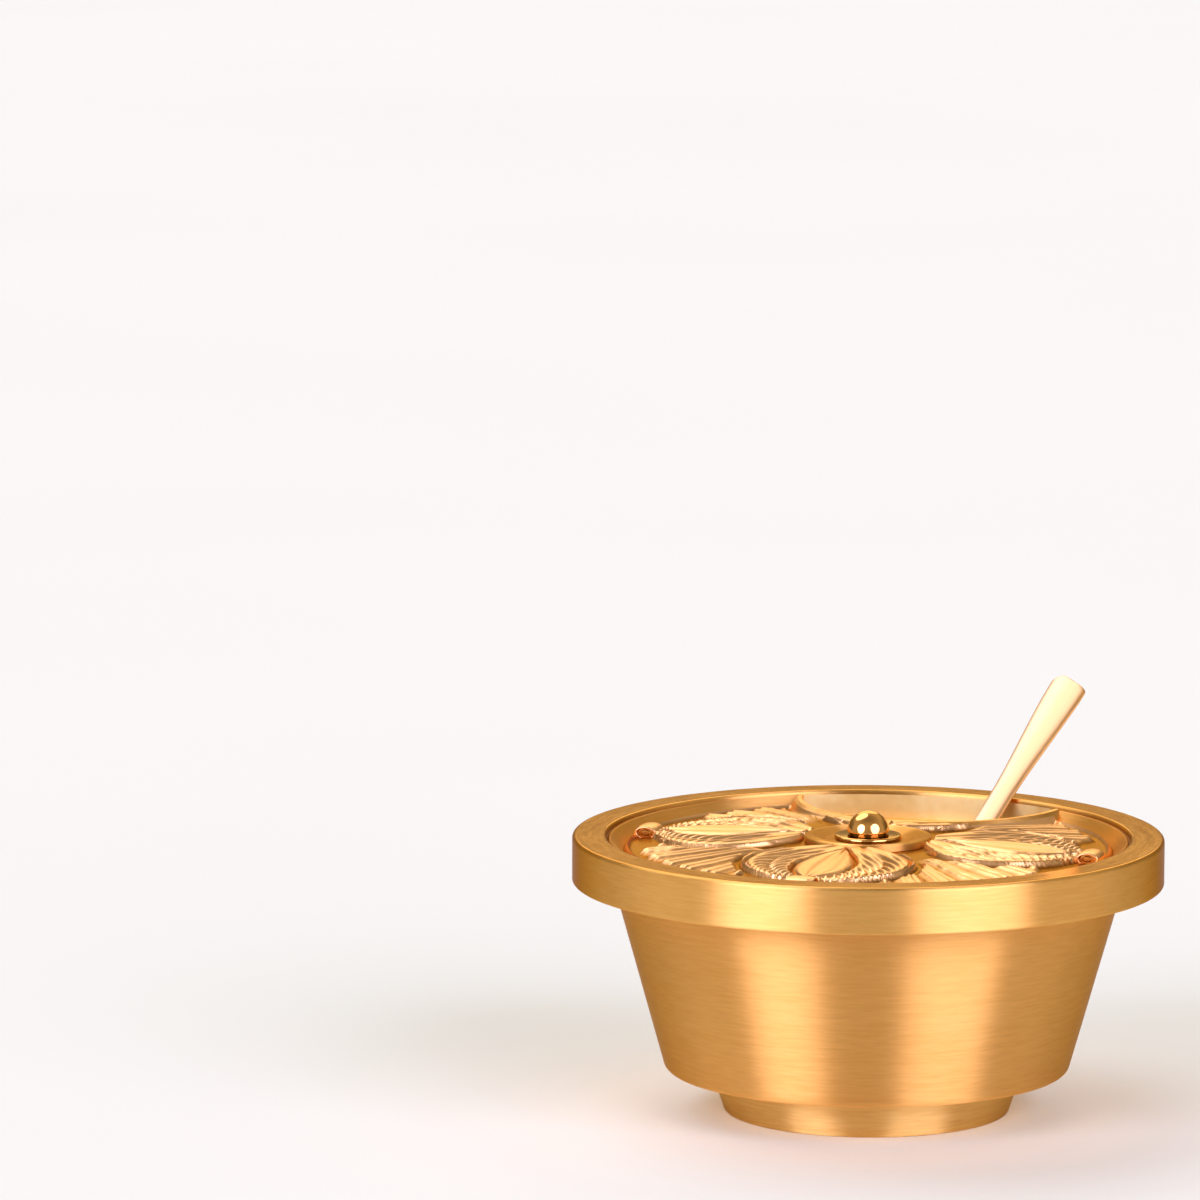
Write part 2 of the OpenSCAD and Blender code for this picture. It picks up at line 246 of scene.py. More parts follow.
def brushed_gilt(name, rough, streak, drag=1.0, dull=deep_gold, clear=light_gold,
                 edge=bright_edge):
    """Gilding brushed on the lathe, uneven in tone, with the metal's tint at a flat angle.

    The fine marks run round the axis and drag the light across them.
    """
    fine_along, fine_across = 240, 2600
    broad_along, broad_across = 70, 900
    mark_depth = 0.00002
    finish = bpy.data.materials.new(name)
    finish.use_nodes = True
    finish.node_tree.nodes.clear()
    t = Sock(finish.node_tree)
    spot = t.add("ShaderNodeTexCoord", out="Object")
    x, y, z = spot.parts()
    across = z + 0.7 * (x * x + y * y).math("SQRT")
    fine = t.add("ShaderNodeTexNoise", None, {
        "Vector": t.point(x * fine_along, y * fine_along, across * fine_across),
        "Scale": 1.0, "Detail": 2.0})
    broad = t.add("ShaderNodeTexNoise", None, {
        "Vector": t.point(x * broad_along, y * broad_along, across * broad_across),
        "Scale": 1.0, "Detail": 2.0})
    cloud = t.add("ShaderNodeTexNoise", None, {"Vector": spot, "Scale": 38.0, "Detail": 3.0})
    marks = 0.6 * fine + 0.4 * broad
    tone = (marks * 0.75 + cloud * 0.25).step(0.34, 0.66)
    colour = tone.blend(dull, clear)
    height = t.add("ShaderNodeBump", None, {
        "Strength": streak, "Distance": mark_depth, "Height": marks})
    metal = t.add("ShaderNodeBsdfPrincipled", None, {
        "Base Color": colour, "Metallic": 1.0,
        "Roughness": rough + (marks - 0.5) * 0.16 + (cloud - 0.5) * 0.08,
        "Specular Tint": edge,
        "Anisotropic": drag, "Anisotropic Rotation": 0.25, "Normal": height})
    t.add("ShaderNodeOutputMaterial", None, {"Surface": metal})
    return finish


def satin_gilt(name, rough, dull, clear):
    """Gilding left satin inside, with soft blotches from the bath over the turning; in the bore's
    paler colours, tone and blotches are painted reflections.
    """
    finish = bpy.data.materials.new(name)
    finish.use_nodes = True
    finish.node_tree.nodes.clear()
    t = Sock(finish.node_tree)
    spot = t.add("ShaderNodeTexCoord", out="Object")
    blotch = t.add("ShaderNodeTexNoise", None, {"Vector": spot, "Scale": 420.0, "Detail": 3.0})
    cloud = t.add("ShaderNodeTexNoise", None, {"Vector": spot, "Scale": 60.0, "Detail": 2.0})
    colour = (blotch * 0.4 + cloud * 0.6).step(0.35, 0.65).blend(dull, clear)
    height = t.add("ShaderNodeBump", None, {"Strength": 0.3, "Distance": 0.0001, "Height": blotch})
    metal = t.add("ShaderNodeBsdfPrincipled", None, {
        "Base Color": colour, "Metallic": 1.0,
        "Roughness": rough + (blotch - 0.5) * 0.2 + (cloud - 0.5) * 0.1,
        "Specular Tint": (0.98, 0.7, 0.35, 1), "Normal": height})
    t.add("ShaderNodeOutputMaterial", None, {"Surface": metal})
    return finish


spun_gilt = brushed_gilt("spun_gilt", rough=0.46, streak=0.5, edge=wall_edge)
inside_gilt = satin_gilt("bowl_inside", 0.5, (0.9, 0.55, 0.15, 1), (0.96, 0.7, 0.28, 1))
bowl = turned("bowl_shell_gilt", bowl_rows, spun_gilt)
bowl.data.materials.append(inside_gilt)
floor_upward = 0.9
for face in bowl.data.polygons:
    if face.normal.xy.dot(face.center.xy) < 0 or face.normal.z > floor_upward:
        face.material_index = 1
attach(bowl, "body")
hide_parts("bowl_shell")


# Rim band: a heavy turned ring of gilt brass round the mouth, with its edges broken.
# Its wall is brushed on the lathe, its top face polished and its bore left satin, paler, with pale
# blotches that are painted reflections.
# It stands on the bowl's collar, and the lid lies on the ledge inside it.
band_rows = [
    (44.05, 40, 0), (51, 40, 0.4), (51, 48, 0.6), (45, 48, 0.6),
    (45, 43, 0), (42.5, 43, 0), (42.5, 42, 0), (44.05, 42, 0),
]
bore_within, bore_below = 0.0452, 0.0473
top_upward, top_above = 0.97, 0.0475
dark_edge = (0.44, 0.31, 0.25, 1)
band_gilt = brushed_gilt("band_gilt", rough=0.38, streak=0.5, edge=dark_edge)
# The bore's paler colours and pale blotches are painted reflections of the lamps.
bore_gilt = satin_gilt("bore_gilt", 0.6, (0.95, 0.64, 0.22, 1), (0.99, 0.78, 0.36, 1))
top_gilt = brushed_gilt("top_gilt", rough=0.12, streak=0.3, drag=0.0)
band = turned("rim_band_gilt", band_rows, band_gilt, steps=320)
band.data.materials.append(bore_gilt)
band.data.materials.append(top_gilt)
for face in band.data.polygons:
    if face.center.xy.length < bore_within and face.center.z < bore_below:
        face.material_index = 1
    elif face.normal.z > top_upward and face.center.z > top_above:
        face.material_index = 2
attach(band, "body")
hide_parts("rim_band")


# Foot: a turned brass ring, tapered a little towards the table and soldered under the floor.
# Its table edge is broken. It is brushed like the bowl, in a paler copy of the gilding: painted
# light that brightens its highlights.
foot_rows = [(21.6, 0, 0.4), (24.6, 0, 0.6), (27, 7.2, 0), (21.6, 7.2, 0)]
foot_gilt = brushed_gilt(
    "foot_gilt", rough=0.46, streak=0.5,
    dull=(0.88, 0.51, 0.15, 1), clear=(0.99, 0.66, 0.23, 1), edge=wall_edge)
foot = turned("foot_ring_gilt", foot_rows, foot_gilt)
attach(foot, "body")
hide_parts("foot_ring")


# Lid pan: a turned brass dish with a plain sloping border, brushed and gilt.
# A round bite with a raised lip is cut into its back. It lies loose on the ledge of the band
# and carries the relief and the knob.
pan_gilt = brushed_gilt("pan_gilt", rough=0.42, streak=0.3)
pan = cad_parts["lid_pan"]
pan.data.materials.clear()
pan.data.materials.append(pan_gilt)


# Relief: a cast palmette plate, chased and gilt, bedded in the pan and cut out along the bite.
# Three broad leaves with curled tips stand on its axes, with ribbed fans between them.
relief_r = 42.15
core_r = 8.3
bite_turn = math.radians(18.2)
bite_r = 23.4
bite_y = 41.4
lip_top = 47.6
lip_foot = 1.2
relief_low = 45.3
back_fall = 0.0009
blank_level = 0.046


def relief_blank():
    """The flat plate before it is raised: rings round the middle that open along the bite."""
    reach = bite_r + lip_foot
    near = bite_y - reach
    horn = math.acos((bite_y ** 2 + reach ** 2 - relief_r ** 2) / (2 * bite_y * reach))
    whole, opened, columns = 26, 92, 720
    radii = [core_r + (near - core_r) * i / whole for i in range(whole + 1)]
    for i in range(1, opened + 1):
        turn = horn * i / opened
        square = bite_y ** 2 + reach ** 2 - 2 * bite_y * reach * math.cos(turn)
        radii.append(math.sqrt(square))
    work = bmesh.new()
    top = work.verts.layers.float.new("top")
    rings = []
    for j, radius in enumerate(radii):
        opening = (radius ** 2 + bite_y ** 2 - reach ** 2) / (2 * radius * bite_y)
        gap = math.acos(min(1, opening))
        ring = []
        for k in range(columns + (j > whole)):
            angle = gap + (2 * math.pi - 2 * gap) * k / columns
            x, y = -radius * math.sin(angle) / 1000, radius * math.cos(angle) / 1000
            vert = work.verts.new((x, y, blank_level))
            vert[top] = 1
            ring.append(vert)
        if j <= whole:
            ring.append(ring[0])
        rings.append(ring)
    for low, high in zip(rings, rings[1:]):
        for k in range(columns):
            work.faces.new((low[k], high[k], high[k + 1], low[k + 1]))
    edges = [e for e in work.edges if e.is_boundary]
    made = bmesh.ops.extrude_edge_only(work, edges=edges)["geom"]
    for vert in made:
        if isinstance(vert, bmesh.types.BMVert):
            outwards = vert.co.xy.length * 1000 / relief_r
            vert.co.z = relief_low / 1000 - back_fall * outwards
            vert[top] = 0
    rim = [e for e in made if isinstance(e, bmesh.types.BMEdge) and e.is_boundary]
    bmesh.ops.triangle_fill(work, use_beauty=True, edges=rim)
    blank = bpy.data.meshes.new("lid_relief_cast")
    work.to_mesh(blank)
    work.free()
    piece = bpy.data.objects.new("lid_relief_cast", blank)
    bpy.context.scene.collection.objects.link(piece)
    return piece


def palmette_tree():
    """Nodes that raise the leaves, fans, fillets and slopes from the flat plate."""
    tree = bpy.data.node_groups.new("palmette_relief", "GeometryNodeTree")
    names = {}
    wanted = (("Plate", "Geometry"), ("Leaf Height", "Float"), ("Leaf Half Width", "Float"),
              ("Finish", "Material"))
    for name, kind in wanted:
        entered = tree.interface.new_socket(
            name, in_out="INPUT", socket_type="NodeSocket" + kind)
        names[name] = entered.identifier
    tree.interface.new_socket("Piece", in_out="OUTPUT", socket_type="NodeSocketGeometry")
    entry = tree.nodes.new("NodeGroupInput")
    plate, leaf_h, leaf_half, finish = (Sock(tree, entry.outputs[n]) for n, _ in wanted)
    t = Sock(tree)
    px, py, _ = t.add("GeometryNodeInputPosition").parts()
    x, y = px * 1000, py * 1000
    r = (x * x + y * y).math("SQRT")
    hand = t.add("ShaderNodeTexNoise", None, {
        "Vector": t.point(x, y, 0.0), "Scale": 0.16, "Detail": 2.0}) - 0.5
    a = y.math("ARCTAN2", x) + 0.05 * hand
    quarter = math.pi / 2
    off = abs(a - (a / quarter).math("ROUND") * quarter)
    u, v = (r + 1.2 * hand) * off.math("COSINE"), r * off.math("SINE")

    def peak(value, centre, width):
        """One at the centre, falling smoothly to nothing at the width."""
        return abs(value - centre).step(0, width, 1, 0)

    def within_one(value):
        """The value, held between nothing and one."""
        return value.math("MAXIMUM", 0).math("MINIMUM", 1)

    # Outline of a leaf and how far across it a point lies
    leaf_root, leaf_len, least_width = 10, 28, 0.001
    along = within_one((u - leaf_root) / leaf_len)
    bulge = (along * math.pi).math("SINE").math("MAXIMUM", 0).math("SQRT")
    wide = leaf_half * bulge + least_width
    inside = (wide - v).step(0, 0.6)

    # Middle petal: a slim drop with three ribs
    petal_root, petal_len, petal_half, rib_count = 13, 23.5, 5.2, 3
    run = within_one((u - petal_root) / petal_len)
    drop = ((run ** 1.35) * math.pi).math("SINE").math("MAXIMUM", 0) ** 0.75
    slim = petal_half * drop + least_width
    across = (v / slim).math("MINIMUM", 1)
    ribs = (across * (math.pi * rib_count)).math("COSINE") * -0.5 + 0.5
    vault = (1 - across * across).math("SQRT")
    petal = (slim - v).step(0, 0.5) * (0.4 + 0.6 * vault - 0.22 * ribs)

    # Two lobes to each side of it, cut with slanting barbs like a feather, and a raised outline
    outline_width, barb_pitch, barb_cut = 1.2, 1.5, 0.45
    lobe_width = (wide - slim - outline_width).math("MAXIMUM", least_width)
    share = within_one((v - slim) / lobe_width)
    arch = abs((share * (2 * math.pi)).math("SINE")) ** 0.7
    barbs = ((v * 0.8 - u * 0.6) * (2 * math.pi / barb_pitch)).math("COSINE") * 0.5 + 0.5
    cut = barb_cut * barbs * u.step(14, 19) * share.step(0.02, 0.2) * share.step(0.72, 0.95, 1, 0)
    lobes = (0.5 + 0.42 * arch - cut) * (wide - v).step(1.1, 1.7)
    rim_line = peak(wide - v, 0.75, 0.85) * along.step(0.05, 0.2) * 0.85
    beside = (v - slim).step(0.1, 0.6) * lobes
    leaf = inside * beside.math("MAXIMUM", petal).math("MAXIMUM", rim_line)

    # Ribbed fan between two leaves, each rib with a fine ripple
    rib_turn, ripples, fan_reach, fan_fall = 0.15, 8, 39.8, 9
    lean = math.pi / 4 - off
    clear = v - wide
    rib = abs((lean * (math.pi / rib_turn)).math("COSINE")) ** 0.7
    rib = rib * (0.86 + 0.14 * (lean * (ripples * math.pi / rib_turn)).math("COSINE"))
    reach = fan_reach - fan_fall * abs(lean).step(0.3, 0.6)
    scallop = (r + 1.3 * (1 - rib) - reach).step(-0.9, 0.6, 1, 0)
    fan = r.step(18, 24) * scallop * clear.step(0.5, 1.4) * (0.05 + 0.75 * rib)

    # Thin fillets along the outer edge and along the bite
    bite_at = (x * x + (y - bite_y) ** 2).math("SQRT") - bite_r
    edge = r.step(relief_r - 1.7, relief_r - 1.2, 1, 0) * bite_at.step(2.9, 3.5)
    bite_fillet = 0.3 * peak(bite_at, 3.3, 0.5) * r.step(11.7, 12.4)
    fillet = (0.6 * peak(r, relief_r - 0.65, 0.6)).math("MAXIMUM", bite_fillet)
    outline = peak(v - wide, 0.25, 0.5) * along.step(0.02, 0.1) * along.step(0.9, 0.98, 1, 0)

    # The ground falls from the middle plate to the edge and meets the slopes of lip and border
    plate_r, ground_low, ground_rise = 11.6, 45.4, 1.4
    lip_slope, lip_crest, border_slope, border_r, proud = 1.3, 0.7, 0.92, 42.2, 0.015
    show = r.step(11.15, 11.7)
    swell = leaf.math("MAXIMUM", fan)
    swell = ((swell - 0.22 * outline) * edge).math("MAXIMUM", fillet) * show
    fall = ((r - plate_r) / (relief_r - plate_r)).math("MAXIMUM", 0)
    ground = ground_low + ground_rise * (1 - fall * fall)
    surface = ground + leaf_h * swell
    lip = lip_top - lip_slope * (bite_at - lip_crest) + proud
    border = ground_low + border_slope * (r - border_r)
    level = surface.math("MAXIMUM", lip).math("MAXIMUM", border)
    plain = (lip.math("MAXIMUM", border) - surface).step(0, 0.05)

    is_top = t.add(
        "GeometryNodeInputNamedAttribute", {"data_type": "FLOAT"}, {"Name": "top"}, "Attribute")
    kept = t.add(
        "GeometryNodeStoreNamedAttribute", {"data_type": "FLOAT", "domain": "POINT"},
        {"Geometry": plate, "Name": "raised", "Value": swell * (1 - plain) + 0.6 * plain})
    lifted = t.add("GeometryNodeSetPosition", None, {
        "Geometry": kept, "Selection": is_top.math("GREATER_THAN", 0.5),
        "Position": t.point(px, py, level / 1000)})
    whole = t.add("GeometryNodeRealizeInstances", None, {"Geometry": lifted})
    done = t.add("GeometryNodeSetMaterial", None, {"Geometry": whole, "Material": finish})
    exit_node = tree.nodes.new("NodeGroupOutput")
    tree.links.new(done.out, exit_node.inputs[0])
    return tree, names


def cast_gilt():
    """Chased casting: bright tops from wear, stippled brown-gold ground, darker the lower it lies,
    as patina and as painted shade in the hollows.
    """
    patina_and_shade_gold, top_gold = (0.4, 0.165, 0.03, 1), (0.96, 0.55, 0.25, 1)
    finish = bpy.data.materials.new("chased_gilt")
    finish.use_nodes = True
    finish.node_tree.nodes.clear()
    t = Sock(finish.node_tree)
    spot = t.add("ShaderNodeTexCoord", out="Object")
    raised = t.add("ShaderNodeAttribute", {"attribute_name": "raised"}, out="Fac")
    grain = t.add("ShaderNodeTexNoise", None, {"Vector": spot, "Scale": 1500.0, "Detail": 3.0})
    patch = t.add("ShaderNodeTexNoise", None, {"Vector": spot, "Scale": 420.0, "Detail": 4.0})
    # Colour follows the height of the relief: the low ground is darkened as patina and as painted
    # shade.
    wear_and_shade = (raised + (patch - 0.5) * 0.2).step(0.0, 0.6)
    colour = wear_and_shade.blend(patina_and_shade_gold, top_gold)
    stipple = t.add("ShaderNodeBump", None, {
        "Strength": 0.45, "Distance": 0.0001,
        "Height": grain * (1 - 0.5 * wear_and_shade) + patch * 0.8})
    metal = t.add("ShaderNodeBsdfPrincipled", None, {
        "Base Color": colour, "Metallic": 1.0,
        "Roughness": 0.4 - 0.1 * wear_and_shade + (patch - 0.5) * 0.1,
        "Specular Tint": (0.98, 0.75, 0.42, 1), "Normal": stipple})
    t.add("ShaderNodeOutputMaterial", None, {"Surface": metal})
    return finish


# Curled tips: each leaf ends in a small roll across its axis, hollow at both ends round an eye
# painted in the darkest tone as shade
roll_rows = [
    (0, -2.2, 0), (0.3, -2.2, 0.1), (0.42, -1.9, 0), (0.6, -1.9, 0), (0.7, -2.45, 0.06),
    (0.86, -2.3, 0.15), (0.97, -1.3, 0.8), (1, 0, 1), (0.97, 1.3, 0.8), (0.86, 2.3, 0.15),
    (0.7, 2.45, 0.06), (0.6, 1.9, 0), (0.42, 1.9, 0), (0.3, 2.2, 0.1), (0, 2.2, 0),
]
roll_at, roll_size = (0, 0.0396, 0.0464), (1.05, 2.3, 1.3, 1)
eye_r, eye_shade_tone, roll_tone = 0.00065, 0.0, 0.8


def with_rolls(piece, finish):
    """The relief with a roll joined in at the tip of each of its three leaves."""
    work = bmesh.new()
    work.from_mesh(piece.data)
    raised = work.verts.layers.float["raised"]
    for quarter in (1, 2, 3):
        roll = turned("roll", roll_rows, finish, steps=32)
        # The eye of each roll gets the darkest tone: painted shade in its hollow.
        tone = [eye_shade_tone if v.co.xy.length < eye_r else roll_tone for v in roll.data.vertices]
        roll.data.transform(
            Matrix.Rotation(quarter * math.pi / 2, 4, "Z") @ Matrix.Translation(roll_at)
            @ Matrix.Diagonal(roll_size) @ Matrix.Rotation(math.pi / 2, 4, "Y"))
        known = len(work.verts)
        work.from_mesh(roll.data)
        work.verts.ensure_lookup_table()
        for vert, share in zip(work.verts[known:], tone):
            vert[raised] = share
        bpy.data.objects.remove(roll)
    work.to_mesh(piece.data)
    work.free()
    return piece


raising, raising_inputs = palmette_tree()
chased = cast_gilt()
relief = grown(relief_blank(), raising, {
    raising_inputs["Leaf Height"]: 1.35,
    raising_inputs["Leaf Half Width"]: 15.4,
    raising_inputs["Finish"]: chased,
})
with_rolls(relief, chased)
relief.data.transform(Matrix.Rotation(-bite_turn, 4, "Z"))
smoothed(relief, sharp=60)
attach(relief, "lid")
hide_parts("lid_relief")


# Knob plate: a turned dished disc in the middle of the relief, with a spigot down to the pan.
# It is brushed round the axis.
plate_rows = [
    (2.1, 45.55, 0), (8, 45.55, 0), (8, 46.85, 0), (11, 46.85, 0), (11, 48, 0.35),
    (9.8, 48, 0.5), (7.4, 47.25, 0.5), (2.1, 47.25, 0),
]
plate_gilt = brushed_gilt("plate_gilt", rough=0.5, streak=0.3)
plate = turned("knob_plate_gilt", plate_rows, plate_gilt, steps=192)
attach(plate, "lid")
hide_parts("knob_plate")


# Knob: a polished gilt dome on a thin flange, turned in one with the shank through the lid.
# A narrow neck under the dome and the edge of the flange show as dark lines, painted in as shade.
# The shank ends in a thread.
shank_r, thread_cut, thread_low, half_pitch = 2, 0.18, 40, 0.25
thread_rows = [(shank_r - thread_cut * (i % 2), thread_low + half_pitch * i, 0) for i in range(18)]
knob_rows = [
    (0, 39.55, 0), (shank_r, 39.55, 0.3), *thread_rows, (shank_r, 44.6, 0), (shank_r, 47.25, 0),
    (5.8, 47.25, 0.4), (5.8, 48.15, 0.4), (3.2, 48.25, 0), (3.2, 48.5, 0),
    (3.6, 48.65, 0), (3.6, 52.25, 3.55), (0, 52.25, 0),
]


def polished_gilt(name, rough, painted_shade_bands=()):
    """Polished gilding with hairline scratches, handling marks, and painted shade in bands at
    heights in mm.
    """
    deep, light, dark = (0.9, 0.46, 0.14, 1), (0.96, 0.51, 0.17, 1), (0.16, 0.07, 0.018, 1)
    finish = bpy.data.materials.new(name)
    finish.use_nodes = True
    finish.node_tree.nodes.clear()
    t = Sock(finish.node_tree)
    spot = t.add("ShaderNodeTexCoord", out="Object")
    smear = t.add("ShaderNodeTexNoise", None, {"Vector": spot, "Scale": 160.0, "Detail": 4.0})
    x, y, z = spot.parts()
    hair = t.add("ShaderNodeTexNoise", None, {
        "Vector": t.point(x * 2600, y * 160, z * 2600), "Scale": 1.0, "Detail": 2.0})
    colour = smear.step(0.3, 0.7).blend(deep, light)
    # Each band is painted dark as shade, in a groove or under a ledge.
    for low, high in painted_shade_bands:
        painted_shade = (z * 1000).step(low - 0.1, low) * (z * 1000).step(high, high + 0.1, 1, 0)
        colour = (painted_shade * (0.75 + 0.5 * (smear - 0.5))).blend(colour, dark)
    height = t.add("ShaderNodeBump", None, {
        "Strength": 0.15, "Distance": 0.00002, "Height": hair})
    metal = t.add("ShaderNodeBsdfPrincipled", None, {
        "Base Color": colour, "Metallic": 1.0,
        "Roughness": rough + (smear - 0.5) * 0.1 + (hair - 0.5) * 0.05,
        "Specular Tint": (0.98, 0.75, 0.42, 1), "Normal": height})
    t.add("ShaderNodeOutputMaterial", None, {"Surface": metal})
    return finish


# Painted shade in the neck and along the lower edge of the flange.
under_flange, neck = (47.0, 47.75), (48.2, 48.62)
knob_gilt = polished_gilt("knob_polish", rough=0.1, painted_shade_bands=(under_flange, neck))
knob = turned("knob_gilt", knob_rows, knob_gilt, steps=128)
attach(knob, "lid")
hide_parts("knob")


# Washer and nut: plain brass under the lid, which draw the knob's shank tight against the pan.
# They are seen only when the lid is lifted.
plain_brass = polished_gilt("plain_brass", rough=0.3)
for name in ("lid_washer", "lid_nut"):
    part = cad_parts[name]
    part.data.materials.clear()
    part.data.materials.append(plain_brass)


# Spoon: stamped from one strip of brass, gilt and lacquered, with an oval bowl and a flat handle
# that widens to an end cut at a slant. Its bowl lies on the floor of the vessel, and the handle
# leans on the rim through the bite.
spoon_len, scoop_len, scoop_w, dish_deep, dish_curl = 98.28, 23, 16, 1.6, 2.6
neck_w, end_w, spoon_t, end_round = 4.7, 7.9, 1.3, 2.2
flare_from, flare_len, end_slant, slant_len = 32.4, 30, 2.3, 12
spoon_turn, spoon_rise = math.radians(33.8), math.radians(35.6)
lean_gap, lean_level, lean_r, rest_level = 0.9, 47.4, 45.6, 9.0
edge_under = lean_gap + lean_level * math.cos(spoon_rise) - lean_r * math.sin(spoon_rise)
tip_drop = (edge_under + spoon_t * 0.2) * math.cos(spoon_rise)
tip_at = (rest_level - tip_drop) / math.sin(spoon_rise)


def smooth(t):
    """Smooth step from nothing at 0 to one at 1."""
    c = min(1, max(0, t))
    return c * c * (3 - 2 * c)


def spoon_half(x):
    """Half width of the spoon at distance x from its tip."""
    egg = bar = 0
    if x < scoop_len:
        egg = scoop_w / 2 * math.sqrt(max(0, math.sin(math.pi * (x / scoop_len) ** 0.85)))
    if x > scoop_len * 0.8:
        flare = smooth((x - spoon_len + flare_from) / flare_len)
        bar = neck_w / 2 + (end_w - neck_w) / 2 * flare
    left = spoon_len - x
    corner = 1 - 0.45 * (1 - left / end_round) ** 2.5 if left < end_round else 1
    return max(0.4, max(egg, bar) * corner)


def spoon_mesh():
    """The spoon lying along X with its tip at the origin, as rings of points across it."""
    scoop_rows, bar_rows, end_rows, across = 70, 60, 20, 28
    root, last = scoop_len + 4, spoon_len - end_round
    stops = [root * (1 - math.cos(math.pi * i / scoop_rows)) / 2 for i in range(scoop_rows)]
    stops += [root + (last - root) * i / bar_rows for i in range(bar_rows)]
    for i in range(end_rows + 1):
        stops.append(spoon_len - end_round * (1 - math.sin(math.pi / 2 * i / end_rows)))
    ring = 2 * across
    verts, faces, face_share, across_share = [], [], [], []
    for x in stops:
        half = spoon_half(x)
        dish = smooth(x / 5) * smooth((scoop_len + 3 - x) / 9)
        thin = 0.25 + 0.75 * smooth(min(x, spoon_len - x) / 0.7 + 0.25)
        for k in range(ring):
            turn = math.pi * k / across
            q = math.copysign(abs(math.cos(turn)) ** 0.5, math.cos(turn))
            side = math.copysign(1, math.sin(turn) + 1e-12)
            edge = math.sqrt(max(0, 1 - abs(q) ** 3))
            middle = spoon_t / 2 - dish_deep * dish + dish_curl * q * q * dish
            z = middle + side * spoon_t / 2 * edge * thin
            slant = end_slant * smooth((x - spoon_len + slant_len) / slant_len) * (1 - q) / 2
            verts.append(((x - slant) / 1000, q * half / 1000, z / 1000))
            face_share.append(smooth((1 - abs(q)) / 0.16) if side > 0 else 0.0)
            across_share.append(q * half)
    for i in range(len(stops) - 1):
        for k in range(ring):
            a, b = i * ring + k, i * ring + (k + 1) % ring
            faces.append((a, b, b + ring, a + ring))
    faces.append(tuple(range(ring)))
    faces.append(tuple(len(verts) - ring + k for k in range(ring)))
    mesh = bpy.data.meshes.new("spoon_gilt")
    mesh.from_pydata(verts, [], faces)
    for name, values in (("face", face_share), ("across", across_share)):
        mesh.attributes.new(name, "FLOAT", "POINT").data.foreach_set("value", values)
    return mesh


def spoon_gilt():
    """Thin gilding under lacquer: the face painted pale, paler still to one side, as a painted
    highlight; the edges deep.
    """
    edge_gold, highlight_pale = (0.88, 0.43, 0.11, 1), (0.97, 0.68, 0.43, 1)
    dull_pale, clear_pale = (0.92, 0.53, 0.23, 1), (0.96, 0.59, 0.29, 1)
    finish = bpy.data.materials.new("spoon_painted_highlight")
    finish.use_nodes = True
    finish.node_tree.nodes.clear()
    t = Sock(finish.node_tree)
    spot = t.add("ShaderNodeTexCoord", out="Object")
    x, _, z = spot.parts()
    face = t.add("ShaderNodeAttribute", {"attribute_name": "face"}, out="Fac")
    across = t.add("ShaderNodeAttribute", {"attribute_name": "across"}, out="Fac")
    drawn = t.add("ShaderNodeTexNoise", None, {
        "Vector": t.point(across * 3.2, x * 30, z * 30), "Scale": 1.0, "Detail": 3.0})
    smear = t.add("ShaderNodeTexNoise", None, {"Vector": spot, "Scale": 210.0, "Detail": 3.0})
    # The pale face, paler to one side, is a painted highlight.
    pale = drawn.step(0.3, 0.7).blend(dull_pale, clear_pale)
    pale = (0.7 * (across + (smear - 0.5) * 1.5).step(-0.8, 1.8)).blend(pale, highlight_pale)
    colour = (face * (0.82 + 0.3 * (smear - 0.5))).blend(edge_gold, pale)
    height = t.add("ShaderNodeBump", None, {
        "Strength": 0.2, "Distance": 0.00003, "Height": drawn})
    metal = t.add("ShaderNodeBsdfPrincipled", None, {
        "Base Color": colour, "Metallic": 1.0,
        "Roughness": 0.44 + (smear - 0.5) * 0.1 + (drawn - 0.5) * 0.08,
        "Coat Weight": 1.0, "Coat Roughness": 0.25, "Coat IOR": 1.7, "Normal": height})
    t.add("ShaderNodeOutputMaterial", None, {"Surface": metal})
    return finish


spoon = bpy.data.objects.new("spoon_gilt", spoon_mesh())
bpy.context.scene.collection.objects.link(spoon)
spoon.data.transform(
    Matrix.Rotation(math.pi / 2 - spoon_turn, 4, "Z") @ Matrix.Rotation(-spoon_rise, 4, "Y")
    @ Matrix.Translation((tip_at / 1000, 0, edge_under / 1000)))
spoon.data.materials.append(spoon_gilt())
smoothed(spoon, sharp=40)
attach(spoon, "spoon")
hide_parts("spoon")


# Studio: a wide sheet of pale paper as the floor and a soft warm room round it, dimmer behind
# to the left and right. Four broad lamps light it: two in front, one above and one behind.
sheet = 9
corners = [(-sheet, -sheet, 0), (sheet, -sheet, 0), (sheet, sheet, 0), (-sheet, sheet, 0)]
floor_mesh = bpy.data.meshes.new("floor")
floor_mesh.from_pydata(corners, [], [(0, 1, 2, 3)])
floor = bpy.data.objects.new("floor", floor_mesh)
bpy.context.scene.collection.objects.link(floor)
paper = bpy.data.materials.new("pale_paper")
paper.use_nodes = True
paper.node_tree.nodes.clear()
t = Sock(paper.node_tree)
mottle = t.add("ShaderNodeTexNoise", None, {
    "Vector": t.add("ShaderNodeTexCoord", out="Object"), "Scale": 3.0, "Detail": 2.0})
sheet_tone = mottle.step(0.2, 0.8).blend((0.86, 0.89, 0.8, 1), (0.88, 0.91, 0.82, 1))
matt = t.add("ShaderNodeBsdfPrincipled", None, {
    "Base Color": sheet_tone, "Roughness": 0.9, "Specular IOR Level": 0.1})
t.add("ShaderNodeOutputMaterial", None, {"Surface": matt})
floor_mesh.materials.append(paper)

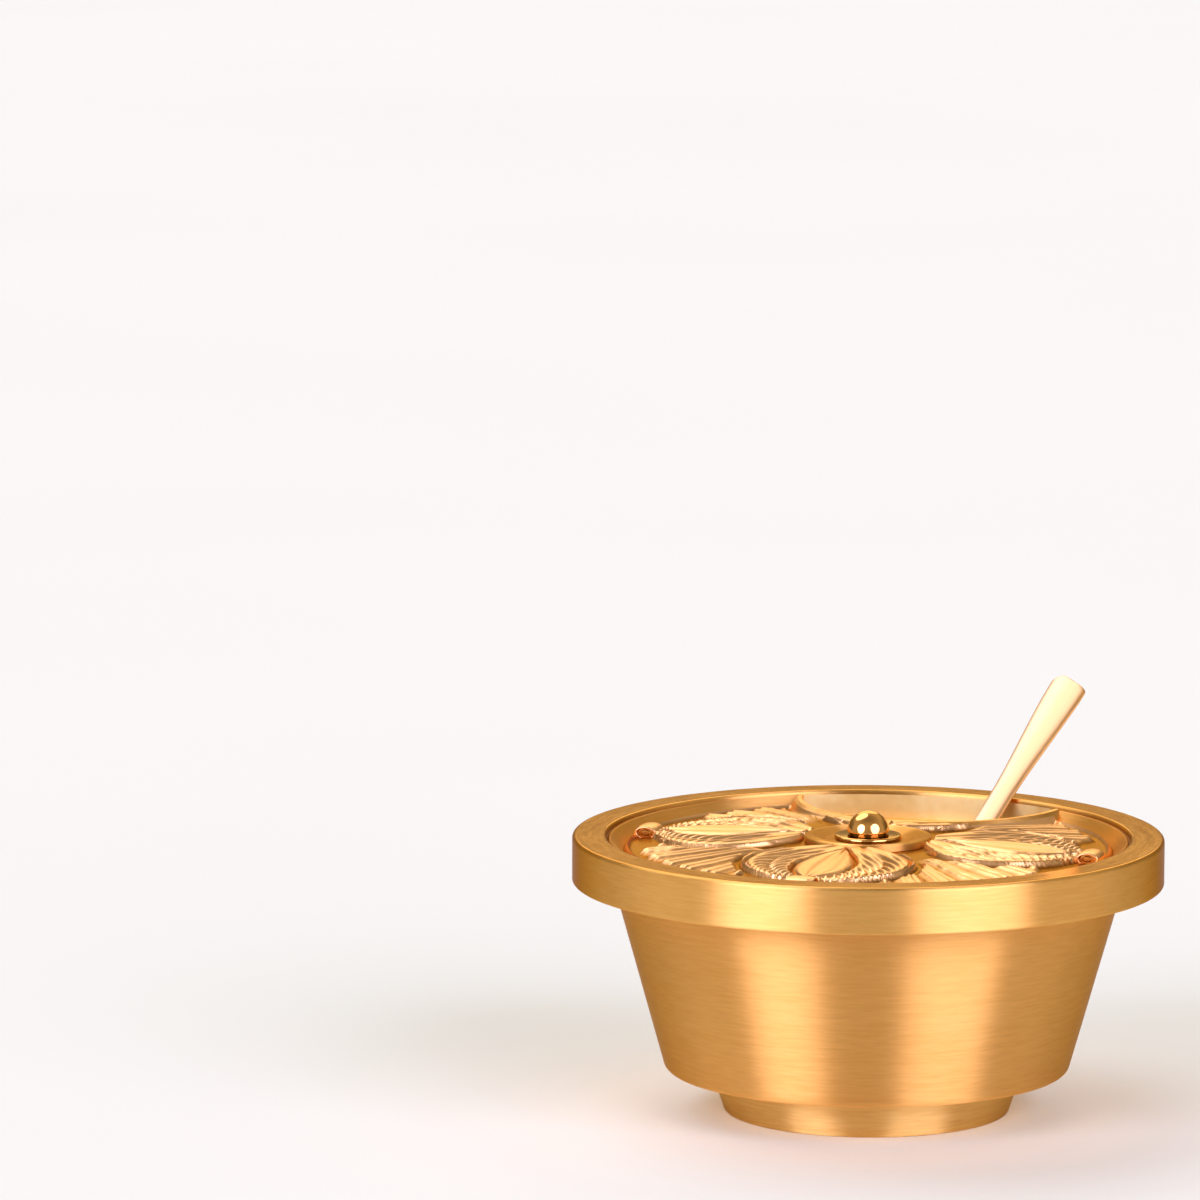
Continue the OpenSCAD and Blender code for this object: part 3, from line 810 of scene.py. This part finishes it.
room = bpy.data.worlds.new("soft_room")
room.use_nodes = True
room.node_tree.nodes.clear()
t = Sock(room.node_tree)
wx, wy, wz = t.add("ShaderNodeTexCoord", out="Generated").parts()
aside = abs(wx).step(0.15, 0.55) * abs(wz).step(0.3, 0.7, 1, 0)
behind = 0.36 * wy.step(0, 0.8) * (1 - 0.7 * aside)
sides = 0.44 * wx * wx * (1 - aside * wy.step(0, 0.5))
front = 0.3 * wy.step(-0.9, -0.3, 1, 0)
level = 0.05 + front + behind + sides + 0.2 * wz.math("MAXIMUM", 0)
glow = t.add("ShaderNodeBackground", None, {"Color": (1.0, 0.87, 0.64, 1), "Strength": level})
t.add("ShaderNodeOutputWorld", None, {"Surface": glow})
bpy.context.scene.world = room

# Name, direction towards the lamp, spread in degrees, power and tint
lamps = (
    ("left_softbox", (-0.7, -0.714, 0.36), 40, 1.7, (1.0, 0.98, 1.4)),
    ("right_softbox", (0.643, -0.766, 0.36), 48, 2.0, (1.0, 0.98, 1.4)),
    ("top_softbox", (-0.39, 0.35, 0.85), 46, 0.9, (1.0, 0.97, 1.1)),
    ("back_softbox", (0.0, 0.8, 0.5), 40, 0.42, (1.0, 0.95, 1.0)),
)
for name, towards, spread, power, tint in lamps:
    lamp = bpy.data.lights.new(name, "SUN")
    lamp.energy = power
    lamp.angle = math.radians(spread)
    lamp.color = tint
    holder = bpy.data.objects.new(name, lamp)
    bpy.context.scene.collection.objects.link(holder)
    holder.rotation_euler = Vector(towards).to_track_quat("Z", "Y").to_euler()


# Camera: a long lens a little above the rim, level to within a fraction of a degree.
# Its focal length, angle and place are fitted to the outlines of rim, cone and foot.
frame_px, focal_px, film_width = 1200, 8305.15, 36
off_right, off_down, away = 46.0736, 87.9066, 1437.89
pitch, roll = 0.1487, 0.0026
lens = bpy.data.cameras.new("camera")
lens.sensor_width = film_width
lens.lens = film_width * focal_px / frame_px
lens.clip_start = 0.05
lens.clip_end = 60
ahead = Vector((0, math.cos(pitch), -math.sin(pitch)))
right, above = Vector((1, 0, 0)), Vector((0, math.sin(pitch), math.cos(pitch)))
side_axis = math.cos(roll) * right + math.sin(roll) * above
up_axis = -math.sin(roll) * right + math.cos(roll) * above
stand = -(off_right * side_axis - off_down * up_axis) - away * ahead
facing = Matrix((side_axis, up_axis, -ahead)).transposed().to_4x4()
camera = bpy.data.objects.new("camera", lens)
camera.matrix_world = Matrix.Translation(stand / 1000) @ facing
bpy.context.scene.collection.objects.link(camera)
bpy.context.scene.camera = camera
bpy.context.scene.view_settings.view_transform = "Standard"
